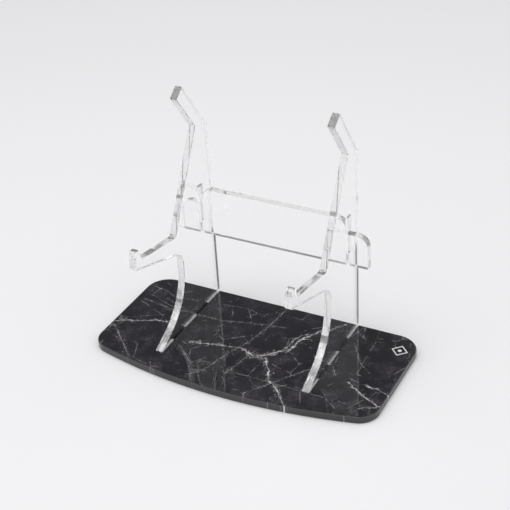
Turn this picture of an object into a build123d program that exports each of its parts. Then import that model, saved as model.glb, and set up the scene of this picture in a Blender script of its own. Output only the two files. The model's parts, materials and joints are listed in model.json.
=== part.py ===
from build123d import *
import math
import os

# Slot-together stand: a bow-fronted stone-look base, a pair of clear side plates
# that stand in its slots, and a clear cross panel that locks the plates together.
# Millimetres. +X runs along the base, +Y to its straight back edge, +Z up.
# The origin is under the middle of the base.

# Sheet stock and fits
sheet = 5.0  # thickness of the side plates and of the cross panel
base_thickness = 5.0
slot_clearance = 0.3  # extra width of every slot and notch over the sheet that it holds
tab_clearance = 0.3  # extra length of a base slot over its tab
tab_recess = 0.2  # how far a tab's end stays above the underside of the base
body_clearance = 0.2  # gap between each end of the panel's body and the plate beside it
edge_break = 0.25  # chamfer that polishing leaves on the cut edges of the clear sheets
base_break = 0.5  # chamfer around the top and the underside of the base

# Base plate
base_length = 206.0
base_side_depth = 88.0  # straight part, from the back edge to the bowed front
front_bow = 14.0  # how far the front edge swells out at its middle
rear_corner_radius = 16.0
front_corner_radius = 14.0

# Side plates, seen from the side. Depths run forward from a plate's back edge, and
# heights run up from the top of the base.
plate_spacing = 108.0  # between the middles of the two plates
rear_setback = 0.5  # from the back edge of the base to the back edge of a plate
kink_height = 133.5  # where the straight back edge turns forward into the prong
prong_length = 45.8
prong_width = 10.0
prong_lean = 35.3  # degrees forward of upright
throat_rise = 4.5  # from the kink up to the inner corner between the prong and the back rest
rest_lean = 28.4  # degrees that the back rest leans back
arm_root_height = 73.2  # inner corner between the back rest and the arm
arm_reach = 42.1  # along the top of the arm, from the back rest to the lip
arm_rise = 10.0  # degrees that the top of the arm climbs towards the lip
lip_height = 8.1
lip_top_width = 4.0
front_height = 12.6  # front face of the arm, from the top of the lip down to the nose
front_lean = 9.9  # degrees that the front face leans back
underside_height = 57.3  # where the arm's underside would meet the leg
leg_depth = 44.3  # upper part of the leg
leg_sweep_radius = 41.0  # the curve that carries the leg forward to its toe
toe_angle = 26.0  # degrees between the toe's upper edge and the base
foot_depth = 82.7
toe_radius = 0.6  # smaller where the toe's upper edge is too short for it
round_share = 0.9  # most of that edge that the round may take up
root_radius = 3.0
armpit_radius = 9.0
lip_radius = 1.5
corner_radius = 0.8

# Tabs under each side plate
tab_width = 16.0
tab_pitch = 32.0
rear_tab_depth = 24.5  # middle of the rear tab

# Cross panel. Heights run up from the top of the base.
panel_depth = 14.0  # middle of the panel, forward of the plates' back edge
end_reach = 13.5  # how far each end of the panel stands out past its plate
panel_bottom = 58.0
end_height = 23.5  # the panel's ends, which pass through the plates
body_rise = 11.0  # how far the panel between the plates rises above its ends
notch_depth = 9.5
panel_corner_radius = 8.0
lift_clearance = 2.5  # spare height in a plate's slot as the panel is dropped in

# Derived places
base_depth = base_side_depth + front_bow
back_y = base_depth / 2
plate_back_y = back_y - rear_setback
plate_bottom_z = base_thickness
panel_y = plate_back_y - panel_depth
panel_bottom_z = plate_bottom_z + panel_bottom
seat_z = panel_bottom_z + notch_depth  # the panel hangs on the plates here
panel_length = plate_spacing + sheet + 2 * end_reach
slot_height = end_height + lift_clearance
body_height = end_height + body_rise
tab_depths = (rear_tab_depth, rear_tab_depth + tab_pitch)
plate_places = (-plate_spacing / 2, plate_spacing / 2)


def lean(degrees_forward):
    """Unit direction in the side view, leaning forward of upright."""
    angle = math.radians(degrees_forward)
    return Vector(-math.sin(angle), math.cos(angle))


def side_point(depth, height):
    """Point of the side view from its depth and height on a plate."""
    return Vector(plate_back_y - depth, plate_bottom_z + height)


# Corners of the side plate, from the heel up the back and down the front
heel = side_point(0, 0)
kink = side_point(0, kink_height)
prong_back = kink + lean(prong_lean) * prong_length
prong_front = prong_back + lean(prong_lean + 90) * prong_width
throat_height = kink_height + throat_rise
throat_drop = prong_front.Y - plate_bottom_z - throat_height
throat = prong_front - lean(prong_lean) * (throat_drop / math.cos(math.radians(prong_lean)))
rest_drop = throat_height - arm_root_height
arm_root = throat - lean(-rest_lean) * (rest_drop / math.cos(math.radians(rest_lean)))
lip_root = arm_root + lean(90 - arm_rise) * arm_reach
lip_back = lip_root + lean(arm_rise) * lip_height
lip_front = lip_back - Vector(lip_top_width, 0)
nose = lip_front - lean(-front_lean) * front_height
armpit = side_point(leg_depth, underside_height)
toe = side_point(foot_depth, 0)

# The leg's curve starts straight down and ends along the toe's upper edge.
sweep_turn = 90 - toe_angle
sweep_depth = leg_depth + leg_sweep_radius * (1 - math.cos(math.radians(sweep_turn)))
sweep_end_height = (foot_depth - sweep_depth) * math.tan(math.radians(toe_angle))
sweep_start_height = sweep_end_height + leg_sweep_radius * math.sin(math.radians(sweep_turn))
sweep_start = side_point(leg_depth, sweep_start_height)
sweep_end = side_point(sweep_depth, sweep_end_height)
toe_edge = (foot_depth - sweep_depth) / math.cos(math.radians(toe_angle))
toe_limit = round_share * toe_edge * math.tan(math.radians(toe_angle / 2))

os.makedirs("parts", exist_ok=True)


# Base plate: straight back and sides, bowed front, two slots for each side plate
with BuildPart() as base_plate:
    with BuildSketch(Plane.XY) as base_outline:
        with BuildLine() as base_edge:
            half_length = base_length / 2
            side_front_y = back_y - base_side_depth
            left_side = Line((-half_length, side_front_y), (-half_length, back_y))
            back_edge = Line(left_side @ 1, (half_length, back_y))
            right_side = Line(back_edge @ 1, (half_length, side_front_y))
            ThreePointArc(right_side @ 1, (0, side_front_y - front_bow), left_side @ 0)
        make_face()
        fillet(base_outline.vertices().group_by(Axis.Y)[-1], rear_corner_radius)
        fillet(base_outline.vertices().group_by(Axis.Y)[0], front_corner_radius)
    extrude(amount=base_thickness)
    rims = base_plate.edges().group_by(Axis.Z)
    chamfer(rims[0] + rims[-1], base_break)
    for plate_x in plate_places:
        for tab_depth in tab_depths:
            with BuildSketch(Plane.XY) as base_slot:
                with Locations((plate_x, plate_back_y - tab_depth)):
                    Rectangle(sheet + slot_clearance, tab_width + tab_clearance)
            extrude(amount=base_thickness, mode=Mode.SUBTRACT)
base_plate.part.label = "base_plate"
export_step(base_plate.part, "parts/base_plate.step")


# Side plates: prong, back rest, arm with its lip, and a leg that sweeps to a toe
for side, plate_x in zip(("left", "right"), plate_places):
    with BuildPart() as side_plate:
        with BuildSketch(Plane.YZ.offset(plate_x)) as plate_outline:
            with BuildLine() as plate_edge:
                Polyline(heel, kink, prong_back, prong_front, throat, arm_root, lip_root,
                         lip_back, lip_front, nose, armpit, sweep_start)
                JernArc(sweep_start, (0, -1), leg_sweep_radius, -sweep_turn)
                Polyline(sweep_end, toe, heel)
            make_face()
            for corner, radius in (
                (arm_root, root_radius),
                (armpit, armpit_radius),
                (lip_front, lip_radius),
                (nose, lip_radius),
                (lip_back, corner_radius),
                (lip_root, corner_radius),
                (prong_back, corner_radius),
                (prong_front, corner_radius),
                (toe, min(toe_radius, toe_limit)),
            ):
                fillet(plate_outline.vertices().sort_by_distance(corner)[0], radius)
        extrude(amount=sheet / 2, both=True)
        rims = side_plate.edges().filter_by(lambda edge: edge.bounding_box().size.X < edge_break)
        chamfer(rims, edge_break)
        with BuildSketch(Plane.YZ.offset(plate_x)) as plate_tabs:
            tab_height = base_thickness - tab_recess
            for tab_depth in tab_depths:
                with Locations((plate_back_y - tab_depth, plate_bottom_z - tab_height / 2)):
                    Rectangle(tab_width, tab_height)
                with Locations((plate_back_y - tab_depth, plate_bottom_z + edge_break)):
                    Rectangle(tab_width, 2 * edge_break)
        extrude(amount=sheet / 2, both=True)
        with BuildSketch(Plane.YZ.offset(plate_x)) as panel_slot:
            with Locations((panel_y, seat_z + slot_height / 2)):
                Rectangle(sheet + slot_clearance, slot_height)
        extrude(amount=sheet, both=True, mode=Mode.SUBTRACT)
    side_plate.part.label = f"side_plate_{side}"
    export_step(side_plate.part, f"parts/side_plate_{side}.step")


# Cross panel: a taller body between the plates and lower ends that pass through
# them, with a notch under each end that straddles the plate
with BuildPart() as cross_panel:
    with BuildSketch(Plane.XZ.offset(-panel_y)) as panel_outline:
        body_length = plate_spacing - sheet - 2 * body_clearance
        with Locations((0, panel_bottom_z)):
            Rectangle(panel_length, end_height, align=(Align.CENTER, Align.MIN))
            Rectangle(body_length, body_height, align=(Align.CENTER, Align.MIN))
        body_corners = panel_outline.vertices().group_by(Axis.Y)[-1]
        end_corners = panel_outline.vertices().group_by(Axis.X)[0].sort_by(Axis.Y)[-1:]
        end_corners += panel_outline.vertices().group_by(Axis.X)[-1].sort_by(Axis.Y)[-1:]
        fillet(body_corners + end_corners, panel_corner_radius)
    extrude(amount=sheet / 2, both=True)
    rims = cross_panel.edges().filter_by(lambda edge: edge.bounding_box().size.Y < edge_break)
    chamfer(rims, edge_break)
    with BuildSketch(Plane.XZ.offset(-panel_y)) as plate_notches:
        with Locations(*((plate_x, panel_bottom_z) for plate_x in plate_places)):
            Rectangle(sheet + slot_clearance, 2 * notch_depth)
    extrude(amount=sheet, both=True, mode=Mode.SUBTRACT)
cross_panel.part.label = "cross_panel"
export_step(cross_panel.part, "parts/cross_panel.step")
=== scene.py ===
import json
import math

import bpy
from bpy.props import FloatProperty, FloatVectorProperty, IntProperty, PointerProperty
from mathutils import Matrix, Vector

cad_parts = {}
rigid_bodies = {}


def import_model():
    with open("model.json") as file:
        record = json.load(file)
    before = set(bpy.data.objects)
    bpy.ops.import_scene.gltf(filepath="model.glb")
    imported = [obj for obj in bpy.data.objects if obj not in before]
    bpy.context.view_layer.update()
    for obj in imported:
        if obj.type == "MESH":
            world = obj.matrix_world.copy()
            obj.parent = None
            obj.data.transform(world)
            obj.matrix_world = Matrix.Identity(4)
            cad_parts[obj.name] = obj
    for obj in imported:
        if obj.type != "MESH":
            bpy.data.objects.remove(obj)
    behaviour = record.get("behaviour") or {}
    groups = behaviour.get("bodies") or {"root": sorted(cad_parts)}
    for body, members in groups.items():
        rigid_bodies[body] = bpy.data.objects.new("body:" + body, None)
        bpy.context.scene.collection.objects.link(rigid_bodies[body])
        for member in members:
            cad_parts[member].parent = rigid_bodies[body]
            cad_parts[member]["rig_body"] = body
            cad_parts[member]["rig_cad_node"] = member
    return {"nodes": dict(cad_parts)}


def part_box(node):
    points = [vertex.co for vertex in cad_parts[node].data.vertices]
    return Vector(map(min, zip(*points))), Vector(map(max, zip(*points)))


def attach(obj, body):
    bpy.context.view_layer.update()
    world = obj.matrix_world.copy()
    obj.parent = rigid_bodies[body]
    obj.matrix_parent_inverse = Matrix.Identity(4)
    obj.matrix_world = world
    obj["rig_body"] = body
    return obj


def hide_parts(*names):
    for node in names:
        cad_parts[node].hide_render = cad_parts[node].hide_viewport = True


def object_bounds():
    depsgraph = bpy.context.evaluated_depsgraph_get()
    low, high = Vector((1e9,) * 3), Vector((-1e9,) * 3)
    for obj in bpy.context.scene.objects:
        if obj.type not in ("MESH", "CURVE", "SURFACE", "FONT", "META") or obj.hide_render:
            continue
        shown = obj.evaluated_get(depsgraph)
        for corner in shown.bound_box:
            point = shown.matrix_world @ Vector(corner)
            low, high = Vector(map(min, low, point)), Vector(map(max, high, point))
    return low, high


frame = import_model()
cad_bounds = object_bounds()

bl_info = {
    "name": "Razor Stand",
    "version": (1, 0, 0),
    "blender": (4, 5, 0),
    "location": "3D View > Sidebar > Razor Stand",
    "description": "Finishes a clear slot-together razor stand on its black marble base",
    "category": "Object",
}

# Places taken from the frame, in metres
base_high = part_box("base_plate")[1]
stand_low, stand_high = cad_bounds

# How a node's mesh is merged, how its rounds are smoothed, and how squarely a face looks
# through the sheet (a cosine) to count as one of the sheet's two flat faces
weld_distance = 0.000001
flat_angle = math.radians(0.2)
smooth_angle = math.radians(30)
flat_face_cosine = 0.9

side_plates = (("side_plate_left", "clear_side_left"), ("side_plate_right", "clear_side_right"))

millimetres = 1000  # to the metre

# Veins of the marble: for each, its width in millimetres and its course over the top of
# the base, in millimetres from the middle.
bright_veins = (
    (0.50, ((-104, -13), (-95, -7), (-86, -5), (-76, 1), (-66, 3))),
    (0.55, ((-41, -12), (-26, -8), (-5, -4), (7, -9), (15, -4), (25, 8))),
    (0.60, ((25, 8), (28, 20), (31, 26), (36, 36), (45, 49))),
    (0.40, ((18, -4), (22, 9), (24, 20), (29, 27))),
    (0.35, ((24, 3), (27, 11), (27, 20), (34, 22))),
    (0.40, ((-2, -4), (6, -12), (12, -8))),
    (0.50, ((15, -8), (22, -18), (27, -28), (35, -33), (48, -48), (51, -53))),
    (0.45, ((76, -10), (82, -14), (91, -20), (101, -24))),
    (0.40, ((86, -8), (94, -9), (104, -13))),
    (0.40, ((90, -31), (96, -27), (102, -24))),
)
faint_veins = (
    (0.45, ((-104, 38), (-88, 36), (-78, 32), (-62, 33))),
    (0.45, ((-97, 21), (-72, 17), (-60, 20))),
    (0.55, ((-101, -14), (-86, -27), (-71, -42))),
    (0.40, ((-104, -17), (-97, -12))),
    (0.40, ((-54, -42), (-49, -50))),
    (0.40, ((-60, 23), (-52, 31))),
    (0.35, ((-41, 36), (-22, 38), (-15, 29))),
    (0.35, ((-32, 33), (-28, 25))),
    (0.40, ((-51, 18), (-30, 19), (-5, 25), (12, 28))),
    (0.60, ((3, 48), (1, 27), (-4, 4), (-11, -14), (-17, -35), (-25, -44))),
    (0.40, ((18, -46), (30, -30), (45, -9), (58, 4))),
    (0.45, ((-46, -18), (-28, -32))),
    (0.40, ((-3, -33), (1, -20), (2, -14), (6, -6))),
    (0.35, ((-82, 28), (-66, 20), (-50, 18))),
    (0.45, ((39, 40), (45, 49))),
    (0.40, ((58, 37), (61, 50))),
    (0.35, ((59, 43), (67, 37))),
    (0.50, ((57, 4), (64, -6))),
    (0.30, ((62, 30), (74, 12), (84, 4))),
)
beyond_all_veins = 1000.0  # in half widths of a vein


# --------------------------------------------------------------------- settings


class StandBaseSettings(bpy.types.PropertyGroup):
    """Colours and polish of the marble base."""

    stone: FloatVectorProperty(
        name="Stone", description="Ground colour of the marble",
        subtype="COLOR", size=3, min=0, max=1, default=(0.0066, 0.0054, 0.0092))
    cloud: FloatVectorProperty(
        name="Clouds", description="Colour of the paler clouds in the ground",
        subtype="COLOR", size=3, min=0, max=1, default=(0.058, 0.053, 0.066))
    vein: FloatVectorProperty(
        name="Veins", description="Colour of the brightest veins",
        subtype="COLOR", size=3, min=0, max=1, default=(0.80, 0.78, 0.79))
    sawn: FloatVectorProperty(
        name="Sawn edge", description="Colour of the sawn edge round the plate",
        subtype="COLOR", size=3, min=0, max=1, default=(0.020, 0.019, 0.023))
    # Painted highlight: the chamfer round the top gets a lighter colour than the stone, standing in for the
    # light it catches
    arris_highlight: FloatVectorProperty(
        name="Arris", description="Colour of the polished chamfer round the top",
        subtype="COLOR", size=3, min=0, max=1, default=(0.052, 0.050, 0.055))
    wander: FloatProperty(
        name="Wander", description="How far a vein strays from its course",
        unit="LENGTH", precision=4, min=0, default=0.0035)
    roughness: FloatProperty(
        name="Roughness", description="Roughness of the polished top",
        subtype="FACTOR", min=0, max=1, default=0.012)
    gloss: FloatProperty(
        name="Gloss", description="Strength of the stone's mirror gloss",
        subtype="FACTOR", min=0, max=1, default=0.7)
    sawn_roughness: FloatProperty(
        name="Sawn roughness", description="Roughness of the sawn edge",
        subtype="FACTOR", min=0, max=1, default=0.18)


class StandSheetSettings(bpy.types.PropertyGroup):
    """Look of the clear sheet."""

    tint: FloatVectorProperty(
        name="Tint", description="Colour of light through the sheet",
        subtype="COLOR", size=3, min=0, max=1, default=(0.985, 0.99, 0.99))
    waviness: FloatProperty(
        name="Waviness", description="Depth of the waves in the sheet's flat faces",
        unit="LENGTH", precision=6, min=0, default=0.00001)
    ior: FloatProperty(
        name="IOR", description="Index of refraction of acrylic",
        min=1, max=2, default=1.49)
    air_film: FloatProperty(
        name="Air film", description="Air between a cut edge and the surface that it rests on",
        unit="LENGTH", precision=5, min=0.00001, default=0.00004)
    edge_clarity: FloatProperty(
        name="Edge clarity", description="Share of light that passes through a cut edge",
        subtype="FACTOR", min=0, max=1, default=0.90)
    edge_shade: FloatProperty(
        name="Edge shade", description="Brightness of the darker bands along a cut edge",
        subtype="FACTOR", min=0, max=1, default=0.95)
    edge_roughness: FloatProperty(
        name="Edge roughness", description="Roughness of the cut edges",
        subtype="FACTOR", min=0, max=1, default=0.03)
    mark_spacing: FloatProperty(
        name="Mark spacing", description="Distance between the cutter's marks on the edges",
        unit="LENGTH", precision=5, min=0.0001, default=0.0022)
    mark_depth: FloatProperty(
        name="Mark depth", description="Depth of the cutter's marks on the edges",
        unit="LENGTH", precision=6, min=0, default=0.00001)


class StandMarkSettings(bpy.types.PropertyGroup):
    """The small printed mark near the base's rear corner."""

    width: FloatProperty(
        name="Width", description="Width of the rhombus across its corners",
        unit="LENGTH", precision=4, min=0.001, default=0.0115)
    line: FloatProperty(
        name="Line", description="Width of the printed line",
        unit="LENGTH", precision=5, min=0.0001, default=0.0008)
    dot: FloatProperty(
        name="Dot", description="Diameter of the dot in the middle",
        unit="LENGTH", precision=5, min=0.0001, default=0.0026)
    thickness: FloatProperty(
        name="Thickness", description="How far the print stands off the stone",
        unit="LENGTH", precision=5, min=0.00001, default=0.00006)
    side_inset: FloatProperty(
        name="Side inset", description="From the base's right edge to the middle of the mark",
        unit="LENGTH", precision=4, default=0.0105)
    back_inset: FloatProperty(
        name="Back inset", description="From the base's back edge to the middle of the mark",
        unit="LENGTH", precision=4, default=0.0165)
    ink: FloatVectorProperty(
        name="Ink", description="Colour of the print",
        subtype="COLOR", size=3, min=0, max=1, default=(0.80, 0.80, 0.80))


class StandStageSettings(bpy.types.PropertyGroup):
    """Floor, light and camera."""

    floor: FloatVectorProperty(
        name="Floor", description="Colour of the floor",
        subtype="COLOR", size=3, min=0, max=1, default=(0.86, 0.855, 0.865))
    room: FloatVectorProperty(
        name="Room", description="Colour of the pale room all round",
        subtype="COLOR", size=3, min=0, max=1, default=(0.865, 0.86, 0.865))
    shade: FloatVectorProperty(
        name="Shade", description="Colour of the dim patch of wall high up behind the stand",
        subtype="COLOR", size=3, min=0, max=1, default=(0.24, 0.24, 0.25))
    shade_direction: FloatVectorProperty(
        name="Shade direction", description="From the stand to the middle of the dim patch",
        subtype="XYZ", size=3, default=(-0.41, 0.74, 0.53))
    floor_size: FloatProperty(
        name="Floor size", description="Side of the square floor",
        unit="LENGTH", default=12.0)
    azimuth: FloatProperty(
        name="Azimuth", description="How far round to the right the camera stands",
        subtype="ANGLE", default=math.radians(28.93))
    elevation: FloatProperty(
        name="Elevation", description="Camera's height above the horizon",
        subtype="ANGLE", default=math.radians(32.11))
    roll: FloatProperty(
        name="Roll", description="Camera's turn about its own line of sight",
        subtype="ANGLE", default=math.radians(-3.34))
    distance: FloatProperty(
        name="Distance", description="From the camera to the point that it looks at",
        unit="LENGTH", default=0.8181)
    aim: FloatVectorProperty(
        name="Aim", description="Point that the camera looks at",
        subtype="XYZ", unit="LENGTH", size=3, precision=4, default=(-0.0169, 0.04295, 0.0482))
    lens: FloatProperty(
        name="Lens", description="Focal length in millimetres on a 36 mm sensor",
        default=84.5)
    sensor_width: FloatProperty(
        name="Sensor width", description="Width of the camera's sensor in millimetres",
        default=36.0)
    overhead_place: FloatVectorProperty(
        name="Overhead place", description="Middle of the large soft light overhead",
        subtype="XYZ", unit="LENGTH", size=3, default=(-0.1, -0.15, 1.0))
    overhead_size: FloatProperty(
        name="Overhead size", description="Side of the square light overhead",
        unit="LENGTH", default=0.7)
    overhead_power: FloatProperty(
        name="Overhead power", description="Power of the light overhead",
        unit="POWER", default=2.9)
    side_place: FloatVectorProperty(
        name="Side place", description="Middle of the soft light at the right side",
        subtype="XYZ", unit="LENGTH", size=3, default=(0.9, 0.1, 0.7))
    side_size: FloatProperty(
        name="Side size", description="Side of the square light at the right side",
        unit="LENGTH", default=0.6)
    side_power: FloatProperty(
        name="Side power", description="Power of the light at the right side",
        unit="POWER", default=0.4)
    bounces: IntProperty(
        name="Bounces", description="How often light may bounce between the faces of a sheet",
        min=12, default=64)


# ---------------------------------------------------------------- small helpers


def deselect_all():
    """Nothing stays selected."""
    bpy.ops.object.select_all(action="DESELECT")


def copy_of_node(node_name, piece_name):
    """A merged copy of a node of the frame, with its flat faces whole and its rounds smooth."""
    deselect_all()
    node = frame["nodes"][node_name]
    node.select_set(True)
    bpy.context.view_layer.objects.active = node
    bpy.ops.object.duplicate()
    piece = bpy.context.object
    piece.name = piece_name
    piece.parent = None
    del piece["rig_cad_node"]
    del piece["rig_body"]
    bpy.ops.object.mode_set(mode="EDIT")
    bpy.ops.mesh.select_all(action="SELECT")
    bpy.ops.mesh.remove_doubles(threshold=weld_distance)
    bpy.ops.mesh.customdata_custom_splitnormals_clear()
    bpy.ops.mesh.dissolve_limited(angle_limit=flat_angle)
    bpy.ops.object.mode_set(mode="OBJECT")
    bpy.ops.object.shade_smooth_by_angle(angle=smooth_angle)
    return piece


def new_tree(name):
    """An empty node material and its tree."""
    material = bpy.data.materials.new(name)
    material.use_nodes = True
    material.node_tree.nodes.clear()
    return material, material.node_tree


def add_node(tree, kind, **settings):
    """A node of this kind with these settings."""
    node = tree.nodes.new(kind)
    for key, value in settings.items():
        setattr(node, key, value)
    return node


def feed(tree, socket, value):
    """Links another node's socket to this one, or sets this one to a number or a vector."""
    if isinstance(value, bpy.types.NodeSocket):
        tree.links.new(value, socket)
    else:
        socket.default_value = value


def add_math(tree, operation, *sides):
    """A Math node with each side a socket or a number. Gives its output."""
    node = add_node(tree, "ShaderNodeMath", operation=operation)
    for socket, value in zip(node.inputs, sides):
        feed(tree, socket, value)
    return node.outputs[0]


def add_vector_math(tree, operation, *sides, output="Vector"):
    """A Vector Math node with each side a socket or a vector. Gives the named output."""
    node = add_node(tree, "ShaderNodeVectorMath", operation=operation)
    for socket, value in zip(node.inputs, sides):
        feed(tree, socket, value)
    return node.outputs[output]


def add_scale(tree, vector, factor):
    """A vector made longer or shorter by a socket's value."""
    node = add_node(tree, "ShaderNodeVectorMath", operation="SCALE")
    tree.links.new(vector, node.inputs["Vector"])
    tree.links.new(factor, node.inputs["Scale"])
    return node.outputs["Vector"]


def add_range(tree, value, low, high, to_low=0.0, to_high=1.0):
    """A smooth ramp from to_low at low to to_high at high."""
    node = add_node(tree, "ShaderNodeMapRange", interpolation_type="SMOOTHSTEP")
    tree.links.new(value, node.inputs["Value"])
    node.inputs["From Min"].default_value = low
    node.inputs["From Max"].default_value = high
    node.inputs["To Min"].default_value = to_low
    node.inputs["To Max"].default_value = to_high
    return node.outputs["Result"]


def add_mix(tree, factor, first, second):
    """A colour mix, with each colour a socket or three numbers. Gives the mixed colour."""
    node = add_node(tree, "ShaderNodeMix", data_type="RGBA")
    tree.links.new(factor, node.inputs[0])
    for socket, color in zip(node.inputs[6:8], (first, second)):
        feed(tree, socket, color if isinstance(color, bpy.types.NodeSocket) else (*color, 1.0))
    return node.outputs[2]


def add_noise(tree, place, scale, detail=2.0, roughness=0.5):
    """A noise texture read at a place, with so many cells to the metre."""
    node = add_node(tree, "ShaderNodeTexNoise")
    tree.links.new(place, node.inputs["Vector"])
    feed(tree, node.inputs["Scale"], scale)
    node.inputs["Detail"].default_value = detail
    node.inputs["Roughness"].default_value = roughness
    return node


def add_shader(tree):
    """A Principled shader that is joined to the material's output."""
    shader = add_node(tree, "ShaderNodeBsdfPrincipled")
    output = add_node(tree, "ShaderNodeOutputMaterial")
    tree.links.new(shader.outputs[0], output.inputs["Surface"])
    return shader


def new_group(name, inputs, outputs):
    """A shader node group with its sockets, and its input and output nodes."""
    tree = bpy.data.node_groups.new(name, "ShaderNodeTree")
    for socket_name, kind, default in inputs:
        socket = tree.interface.new_socket(socket_name, in_out="INPUT", socket_type=kind)
        if default is not None:
            socket.default_value = default
    for socket_name, kind in outputs:
        tree.interface.new_socket(socket_name, in_out="OUTPUT", socket_type=kind)
    return tree, tree.nodes.new("NodeGroupInput"), tree.nodes.new("NodeGroupOutput")


# ------------------------------------------------------------ shared node groups


def vein_stretch_group():
    """One straight stretch of a vein: the smaller of the distance so far and this one's,
    counted in the vein's own half widths."""
    name = "Vein Stretch"
    if name in bpy.data.node_groups:
        return bpy.data.node_groups[name]
    tree, given, result = new_group(
        name,
        (("Distance", "NodeSocketFloat", beyond_all_veins), ("Position", "NodeSocketVector", None),
         ("Start", "NodeSocketVector", None), ("End", "NodeSocketVector", None),
         ("Half Width", "NodeSocketFloat", 0.0005)),
        (("Distance", "NodeSocketFloat"),))
    from_start = add_vector_math(tree, "SUBTRACT", given.outputs["Position"], given.outputs["Start"])
    course = add_vector_math(tree, "SUBTRACT", given.outputs["End"], given.outputs["Start"])
    ahead = add_vector_math(tree, "DOT_PRODUCT", from_start, course, output="Value")
    length_squared = add_vector_math(tree, "DOT_PRODUCT", course, course, output="Value")
    share = add_math(tree, "DIVIDE", ahead, length_squared)
    share = add_math(tree, "MINIMUM", add_math(tree, "MAXIMUM", share, 0.0), 1.0)
    nearest = add_scale(tree, course, share)
    away = add_vector_math(tree, "DISTANCE", from_start, nearest, output="Value")
    widths = add_math(tree, "DIVIDE", away, given.outputs["Half Width"])
    smaller = add_math(tree, "MINIMUM", given.outputs["Distance"], widths)
    tree.links.new(smaller, result.inputs["Distance"])
    return tree


def cutter_marks_group():
    """The marks that a cutter leaves along a sheet's cut edge. They run straight across it."""
    name = "Cutter Marks"
    if name in bpy.data.node_groups:
        return bpy.data.node_groups[name]
    tree, given, result = new_group(
        name,
        (("Position", "NodeSocketVector", None), ("Across", "NodeSocketVector", None),
         ("Spacing", "NodeSocketFloat", 0.002)),
        (("Marks", "NodeSocketFloat"), ("Bands", "NodeSocketFloat")))
    position = given.outputs["Position"]
    across = given.outputs["Across"]
    depth = add_vector_math(tree, "DOT_PRODUCT", position, across, output="Value")
    in_plane = add_vector_math(tree, "SUBTRACT", position, add_scale(tree, across, depth))
    cells = add_math(tree, "DIVIDE", 1.0, given.outputs["Spacing"])
    marks = add_noise(tree, in_plane, cells, detail=3.0, roughness=0.65)
    tree.links.new(marks.outputs["Fac"], result.inputs["Marks"])
    closer_cells = add_math(tree, "MULTIPLY", cells, 1.6)
    bands = add_noise(tree, in_plane, closer_cells, detail=4.0, roughness=0.7)
    tree.links.new(bands.outputs["Fac"], result.inputs["Bands"])
    return tree


# -------------------------------------------------------------------- materials


def add_veins(tree, place, veins):
    """Distance to the nearest of these veins, counted in its half widths."""
    distance = None
    for width, course in veins:
        for start, end in zip(course, course[1:]):
            stretch = add_node(tree, "ShaderNodeGroup", node_tree=vein_stretch_group())
            for name, (x, y) in (("Start", start), ("End", end)):
                stretch.inputs[name].default_value = (x / millimetres, y / millimetres, 0)
            stretch.inputs["Half Width"].default_value = width / 2 / millimetres
            tree.links.new(place, stretch.inputs["Position"])
            if distance is not None:
                tree.links.new(distance, stretch.inputs["Distance"])
            distance = stretch.outputs["Distance"]
    return distance


def add_stray(tree, place, noise, reach):
    """A place moved sideways by a noise, as far as reach."""
    shift = add_vector_math(tree, "SUBTRACT", noise.outputs["Color"], (0.5, 0.5, 0.5))
    shift = add_vector_math(tree, "MULTIPLY", shift, (reach, reach, 0))
    return add_vector_math(tree, "ADD", place, shift)


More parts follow.
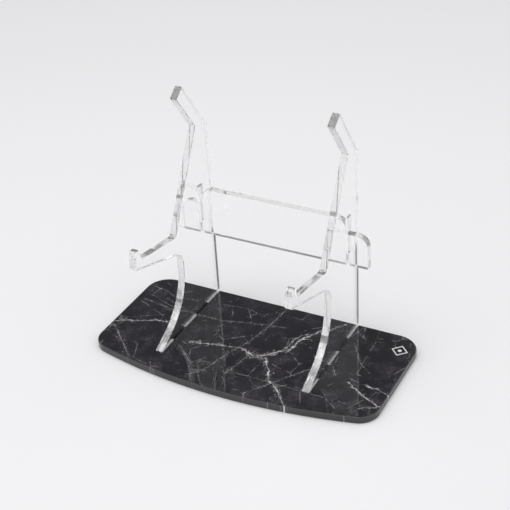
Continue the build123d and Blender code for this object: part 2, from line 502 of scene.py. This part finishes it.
def add_vein_pattern(tree, flat, flecks, settings):
    """Where white shows in the marble, from 0 in the plain stone to 1 in the boldest vein."""
    # The main veins stray and jag about their courses, and the fainter ones run straighter.
    slow = add_noise(tree, flat, scale=40.0, detail=1.0)
    jagged = add_noise(tree, flat, scale=270.0, detail=5.0, roughness=0.8)
    main_place = add_stray(tree, flat, slow, reach=1.4 * settings.wander)
    main_place = add_stray(tree, main_place, jagged, reach=1.7 * settings.wander)
    faint_place = add_stray(tree, flat, slow, reach=0.6 * settings.wander)
    faint_place = add_stray(tree, faint_place, jagged, reach=0.6 * settings.wander)

    # Each vein swells and thins along its course, and breaks off in places.
    swell = add_noise(tree, flat, scale=330.0, detail=3.0, roughness=0.65).outputs["Fac"]
    swell = add_range(tree, swell, 0.36, 0.66, to_low=2.8, to_high=0.6)
    breaks = add_noise(tree, flat, scale=110.0, detail=5.0, roughness=0.75).outputs["Fac"]
    bright = add_math(tree, "MULTIPLY", add_veins(tree, main_place, bright_veins), swell)
    bright_core = add_range(tree, bright, 0.5, 1.7, to_low=1.0, to_high=0.0)
    bright_breaks = add_range(tree, breaks, 0.34, 0.56, to_low=0.3, to_high=1.0)
    bright_core = add_math(tree, "MULTIPLY", bright_core, bright_breaks)
    faint = add_math(tree, "MULTIPLY", add_veins(tree, faint_place, faint_veins), swell)
    faint_core = add_range(tree, faint, 0.4, 1.5, to_low=1.0, to_high=0.0)
    faint_breaks = add_range(tree, breaks, 0.36, 0.62, to_low=0.04, to_high=0.42)
    faint_core = add_math(tree, "MULTIPLY", faint_core, faint_breaks)

    # A thin strand splits off beside a main vein here and there.
    offset = add_noise(tree, flat, scale=210.0, detail=2.0).outputs["Fac"]
    offset = add_range(tree, offset, 0.36, 0.64, to_low=2.0, to_high=8.0)
    strand = add_math(tree, "ABSOLUTE", add_math(tree, "SUBTRACT", bright, offset))
    strand = add_range(tree, strand, 0.2, 1.3, to_low=0.6, to_high=0.0)
    split = add_noise(tree, flat, scale=95.0, detail=3.0).outputs["Fac"]
    strand = add_math(tree, "MULTIPLY", strand, add_range(tree, split, 0.48, 0.60))

    # Pale flecks gather along the veins.
    halo = add_math(tree, "MINIMUM", bright, faint)
    halo = add_range(tree, halo, 1.0, 16.0, to_low=0.35, to_high=0.0)
    halo = add_math(tree, "MULTIPLY", halo, add_range(tree, flecks, 0.5, 0.72))

    # A web of hair-fine cracks shows in places.
    web = add_node(tree, "ShaderNodeTexVoronoi", feature="DISTANCE_TO_EDGE")
    tree.links.new(faint_place, web.inputs["Vector"])
    web.inputs["Scale"].default_value = 42.0
    cracks = add_range(tree, web.outputs["Distance"], 0.004, 0.018, to_low=0.19, to_high=0.0)
    cracks = add_math(tree, "MULTIPLY", cracks, add_range(tree, breaks, 0.47, 0.60))

    pattern = bright_core
    for layer in (faint_core, strand, halo, cracks):
        pattern = add_math(tree, "MAXIMUM", pattern, layer)
    return pattern


def marble_material(settings):
    """Polished black marble with white and grey veins, sawn and chamfered at its edge, with a highlight
    painted on the chamfer.
    """
    material, tree = new_tree("Black marble")
    coordinates = add_node(tree, "ShaderNodeTexCoord")
    flat = add_vector_math(tree, "MULTIPLY", coordinates.outputs["Object"], (1, 1, 0))
    flecks = add_noise(tree, flat, scale=800.0, detail=3.0, roughness=0.7).outputs["Fac"]
    clouds = add_noise(tree, flat, scale=55.0, detail=7.0, roughness=0.78).outputs["Fac"]
    clouds = add_range(tree, clouds, 0.44, 0.72)
    mottle = add_range(tree, flecks, 0.35, 0.68, to_low=0.2, to_high=1.6)
    ground = add_mix(tree, add_math(tree, "MULTIPLY", clouds, mottle), settings.stone, settings.cloud)

    # The sawn edge is duller, and its chamfers get a lighter colour: a painted highlight where they catch
    # the light.
    height = add_node(tree, "ShaderNodeSeparateXYZ")
    tree.links.new(coordinates.outputs["Normal"], height.inputs[0])
    upright = add_math(tree, "ABSOLUTE", height.outputs["Z"])
    sawn = add_range(tree, upright, 0.97, 0.60)
    # Mask of the chamfer faces, which take the painted highlight colour
    chamfer = add_math(tree, "MULTIPLY", sawn, add_range(tree, upright, 0.2, 0.5))
    side = add_mix(tree, chamfer, settings.sawn, settings.arris_highlight)
    ground = add_mix(tree, sawn, ground, side)
    pattern = add_vein_pattern(tree, flat, flecks, settings)
    color = add_mix(tree, pattern, ground, settings.vein)

    shader = add_shader(tree)
    tree.links.new(color, shader.inputs["Base Color"])
    roughness = add_range(tree, sawn, 0.0, 1.0, settings.roughness, settings.sawn_roughness)
    tree.links.new(roughness, shader.inputs["Roughness"])
    shader.inputs["IOR"].default_value = 1.5
    shader.inputs["Specular IOR Level"].default_value = settings.gloss
    return material


def sheet_face_material(settings):
    """The clear, glossy faces of cast acrylic sheet, with a trace of waviness."""
    if "Clear sheet" in bpy.data.materials:
        return bpy.data.materials["Clear sheet"]
    material, tree = new_tree("Clear sheet")
    coordinates = add_node(tree, "ShaderNodeTexCoord")
    waves = add_noise(tree, coordinates.outputs["Object"], scale=14.0, detail=1.0)
    bump = add_node(tree, "ShaderNodeBump")
    bump.inputs["Distance"].default_value = settings.waviness
    tree.links.new(waves.outputs["Fac"], bump.inputs["Height"])
    shader = add_shader(tree)
    shader.inputs["Base Color"].default_value = (*settings.tint, 1)
    shader.inputs["Roughness"].default_value = 0
    shader.inputs["Transmission Weight"].default_value = 1
    shader.inputs["IOR"].default_value = settings.ior
    tree.links.new(bump.outputs["Normal"], shader.inputs["Normal"])
    return material


def cut_edge_material(name, across, settings):
    """The cut edge of a sheet that is thin along the vector across: clear, but a little
    frosted, with cutter's marks."""
    material, tree = new_tree(name)
    coordinates = add_node(tree, "ShaderNodeTexCoord")
    cut = add_node(tree, "ShaderNodeGroup", node_tree=cutter_marks_group())
    tree.links.new(coordinates.outputs["Object"], cut.inputs["Position"])
    cut.inputs["Across"].default_value = across
    cut.inputs["Spacing"].default_value = settings.mark_spacing
    bump = add_node(tree, "ShaderNodeBump")
    bump.inputs["Distance"].default_value = settings.mark_depth
    tree.links.new(cut.outputs["Marks"], bump.inputs["Height"])
    bands = add_range(tree, cut.outputs["Bands"], 0.35, 0.62)
    dark_band = tuple(settings.edge_shade * part for part in settings.tint)
    color = add_mix(tree, bands, dark_band, settings.tint)
    roughness = add_range(
        tree, cut.outputs["Marks"], 0.35, 0.65,
        to_low=0.6 * settings.edge_roughness, to_high=1.4 * settings.edge_roughness)
    shader = add_shader(tree)
    tree.links.new(color, shader.inputs["Base Color"])
    tree.links.new(roughness, shader.inputs["Roughness"])
    shader.inputs["Transmission Weight"].default_value = settings.edge_clarity
    shader.inputs["IOR"].default_value = settings.ior
    tree.links.new(bump.outputs["Normal"], shader.inputs["Normal"])
    return material


def print_material(settings):
    """Matt white print, a little thin in places."""
    material, tree = new_tree("White print")
    coordinates = add_node(tree, "ShaderNodeTexCoord")
    grain = add_noise(tree, coordinates.outputs["Object"], scale=2500.0, detail=2.0).outputs["Fac"]
    thin_ink = tuple(0.85 * part for part in settings.ink)
    color = add_mix(tree, add_range(tree, grain, 0.3, 0.7), thin_ink, settings.ink)
    roughness = add_range(tree, grain, 0.0, 1.0, to_low=0.4, to_high=0.6)
    shader = add_shader(tree)
    tree.links.new(color, shader.inputs["Base Color"])
    tree.links.new(roughness, shader.inputs["Roughness"])
    return material


def floor_material(settings):
    """Pale matt floor."""
    material, tree = new_tree("Pale floor")
    shader = add_shader(tree)
    shader.inputs["Base Color"].default_value = (*settings.floor, 1)
    shader.inputs["Roughness"].default_value = 0.7
    shader.inputs["Specular IOR Level"].default_value = 0.2
    return material


def dress(node_name, material):
    """Gives a node of the frame one material."""
    for slot in frame["nodes"][node_name].material_slots:
        slot.material = material


def finish_sheet(node_name, piece_name, across, lift, edge_material, settings):
    """A clear sheet made from its node, lifted clear of what it rests on, with its cut
    edges in their own material."""
    piece = copy_of_node(node_name, piece_name)
    bpy.ops.object.mode_set(mode="EDIT")
    bpy.ops.mesh.select_all(action="SELECT")
    bpy.ops.transform.translate(value=(0, 0, lift))
    bpy.ops.object.mode_set(mode="OBJECT")
    piece.data.materials.clear()
    piece.data.materials.append(sheet_face_material(settings))
    piece.data.materials.append(edge_material)
    for face in piece.data.polygons:
        face.material_index = 0 if abs(face.normal.dot(Vector(across))) > flat_face_cosine else 1
    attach(piece, "root")
    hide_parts(node_name)


# -------------------------------------------------------------------- operators


class STAND_OT_base(bpy.types.Operator):
    """Finish the base plate in polished black marble"""

    bl_idname = "stand.base"
    bl_label = "Marble Base"

    def execute(self, context):
        dress("base_plate", marble_material(context.scene.stand_base))
        return {"FINISHED"}


class STAND_OT_side_plates(bpy.types.Operator):
    """Make both side plates in clear acrylic, standing a hair off the base"""

    bl_idname = "stand.side_plates"
    bl_label = "Side Plates"

    def execute(self, context):
        settings = context.scene.stand_sheet
        across = (1, 0, 0)
        edge = cut_edge_material("Cut edge of the side sheets", across, settings)
        for node_name, piece_name in side_plates:
            finish_sheet(node_name, piece_name, across, settings.air_film, edge, settings)
        return {"FINISHED"}


class STAND_OT_cross_panel(bpy.types.Operator):
    """Make the cross panel in clear acrylic, hanging a hair off the side plates"""

    bl_idname = "stand.cross_panel"
    bl_label = "Cross Panel"

    def execute(self, context):
        settings = context.scene.stand_sheet
        across = (0, 1, 0)
        edge = cut_edge_material("Cut edge of the cross sheet", across, settings)
        finish_sheet("cross_panel", "clear_cross_panel", across, 2 * settings.air_film, edge, settings)
        return {"FINISHED"}


class STAND_OT_mark(bpy.types.Operator):
    """Print a small rhombus with a dot near the rear corner of the base"""

    bl_idname = "stand.mark"
    bl_label = "Printed Mark"

    def execute(self, context):
        settings = context.scene.stand_mark
        outline = self.raise_print(settings, corners=4, width=settings.width, line=settings.line)
        dot = self.raise_print(settings, corners=32, width=settings.dot, line=0)
        deselect_all()
        dot.select_set(True)
        outline.select_set(True)
        context.view_layer.objects.active = outline
        bpy.ops.object.join()
        bpy.ops.object.transform_apply(location=True, rotation=True, scale=True)
        outline.name = "printed_mark"
        outline.data.materials.append(print_material(settings))
        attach(outline, "root")
        return {"FINISHED"}

    def raise_print(self, settings, corners, width, line):
        """A raised polygon, or only its outline where line is not 0."""
        place = (base_high.x - settings.side_inset, base_high.y - settings.back_inset, base_high.z)
        deselect_all()
        bpy.ops.mesh.primitive_circle_add(
            vertices=corners, radius=width / 2, fill_type="NGON", location=place)
        piece = bpy.context.object
        bpy.ops.object.mode_set(mode="EDIT")
        bpy.ops.mesh.select_all(action="SELECT")
        if line:
            bpy.ops.mesh.inset(thickness=line)
            bpy.ops.mesh.delete(type="FACE")
            bpy.ops.mesh.select_all(action="SELECT")
        bpy.ops.mesh.extrude_region_move(TRANSFORM_OT_translate={"value": (0, 0, settings.thickness)})
        bpy.ops.mesh.select_all(action="SELECT")
        bpy.ops.mesh.normals_make_consistent(inside=False)
        bpy.ops.object.mode_set(mode="OBJECT")
        return piece


class STAND_OT_stage(bpy.types.Operator):
    """Add the pale floor, the soft lights and the camera"""

    bl_idname = "stand.stage"
    bl_label = "Stage"

    def execute(self, context):
        settings = context.scene.stand_stage
        deselect_all()
        bpy.ops.mesh.primitive_plane_add(size=settings.floor_size, location=(0, 0, stand_low.z))
        floor = context.object
        floor.name = "floor"
        floor.data.materials.append(floor_material(settings))
        self.add_room(context, settings)
        self.add_softbox(
            "overhead_softbox", settings.overhead_place, settings.overhead_size, settings.overhead_power)
        self.add_softbox("side_softbox", settings.side_place, settings.side_size, settings.side_power)
        self.add_camera(context, settings)
        context.scene.view_settings.view_transform = "Standard"
        # Light zigzags many times between the faces of a sheet before it leaves an edge.
        for kind in ("max_bounces", "transmission_bounces", "glossy_bounces"):
            setattr(context.scene.cycles, kind, settings.bounces)
        return {"FINISHED"}

    def add_room(self, context, settings):
        """A pale room with a dim patch of wall high up behind the stand, away from the lights."""
        world = bpy.data.worlds.new("Studio")
        world.use_nodes = True
        tree = world.node_tree
        tree.nodes.clear()
        coordinates = add_node(tree, "ShaderNodeTexCoord")
        direction = coordinates.outputs["Generated"]
        height = add_node(tree, "ShaderNodeSeparateXYZ")
        tree.links.new(direction, height.inputs[0])
        nearness = add_vector_math(tree, "DOT_PRODUCT", direction, settings.shade_direction, output="Value")
        # The patch is full within 18 degrees of its middle and gone at 37, and it fades out
        # from 13 to 5 degrees above the horizon.
        patch = add_range(tree, nearness, 0.80, 0.95)
        patch = add_math(tree, "MULTIPLY", patch, add_range(tree, height.outputs["Z"], 0.08, 0.22))
        color = add_mix(tree, patch, settings.room, settings.shade)
        background = add_node(tree, "ShaderNodeBackground")
        tree.links.new(color, background.inputs["Color"])
        output = add_node(tree, "ShaderNodeOutputWorld")
        tree.links.new(background.outputs[0], output.inputs["Surface"])
        context.scene.world = world

    def add_softbox(self, name, place, size, power):
        """A square soft light that faces the stand and isn't seen in its gloss."""
        deselect_all()
        bpy.ops.object.light_add(type="AREA", location=place)
        light = bpy.context.object
        light.name = name
        light.data.shape = "SQUARE"
        light.data.size = size
        light.data.energy = power
        light.visible_glossy = False
        towards_stand = (stand_low + stand_high) / 2 - Vector(place)
        light.rotation_euler = towards_stand.to_track_quat("-Z", "Y").to_euler()

    def add_camera(self, context, settings):
        """The camera, turned round the stand and about its own line of sight."""
        deselect_all()
        bpy.ops.object.camera_add()
        camera = context.object
        turn = Matrix.Rotation(settings.azimuth, 4, "Z")
        turn = turn @ Matrix.Rotation(math.pi / 2 - settings.elevation, 4, "X")
        turn = turn @ Matrix.Rotation(settings.roll, 4, "Z")
        back = turn.to_3x3() @ Vector((0, 0, 1))
        camera.matrix_world = Matrix.Translation(Vector(settings.aim) + back * settings.distance) @ turn
        camera.data.lens = settings.lens
        camera.data.sensor_width = settings.sensor_width
        context.scene.camera = camera


class STAND_PT_panel(bpy.types.Panel):
    """Lists the stand's pieces and its stage"""

    bl_label = "Razor Stand"
    bl_idname = "STAND_PT_panel"
    bl_space_type = "VIEW_3D"
    bl_region_type = "UI"
    bl_category = "Razor Stand"

    def draw(self, context):
        layout = self.layout
        for operator, group in (
            (STAND_OT_base, context.scene.stand_base),
            (STAND_OT_side_plates, context.scene.stand_sheet),
            (STAND_OT_cross_panel, None),
            (STAND_OT_mark, context.scene.stand_mark),
            (STAND_OT_stage, context.scene.stand_stage),
        ):
            box = layout.box()
            box.operator(operator.bl_idname)
            if group is not None:
                for name in group.__annotations__:
                    box.prop(group, name)


classes = (
    StandBaseSettings,
    StandSheetSettings,
    StandMarkSettings,
    StandStageSettings,
    STAND_OT_base,
    STAND_OT_side_plates,
    STAND_OT_cross_panel,
    STAND_OT_mark,
    STAND_OT_stage,
    STAND_PT_panel,
)


def register():
    for cls in classes:
        bpy.utils.register_class(cls)
    bpy.types.Scene.stand_base = PointerProperty(type=StandBaseSettings)
    bpy.types.Scene.stand_sheet = PointerProperty(type=StandSheetSettings)
    bpy.types.Scene.stand_mark = PointerProperty(type=StandMarkSettings)
    bpy.types.Scene.stand_stage = PointerProperty(type=StandStageSettings)


def unregister():
    del bpy.types.Scene.stand_stage
    del bpy.types.Scene.stand_mark
    del bpy.types.Scene.stand_sheet
    del bpy.types.Scene.stand_base
    for cls in reversed(classes):
        bpy.utils.unregister_class(cls)


def main():
    register()
    bpy.ops.stand.base()
    bpy.ops.stand.side_plates()
    bpy.ops.stand.cross_panel()
    bpy.ops.stand.mark()
    bpy.ops.stand.stage()


if __name__ == "__main__":
    main()
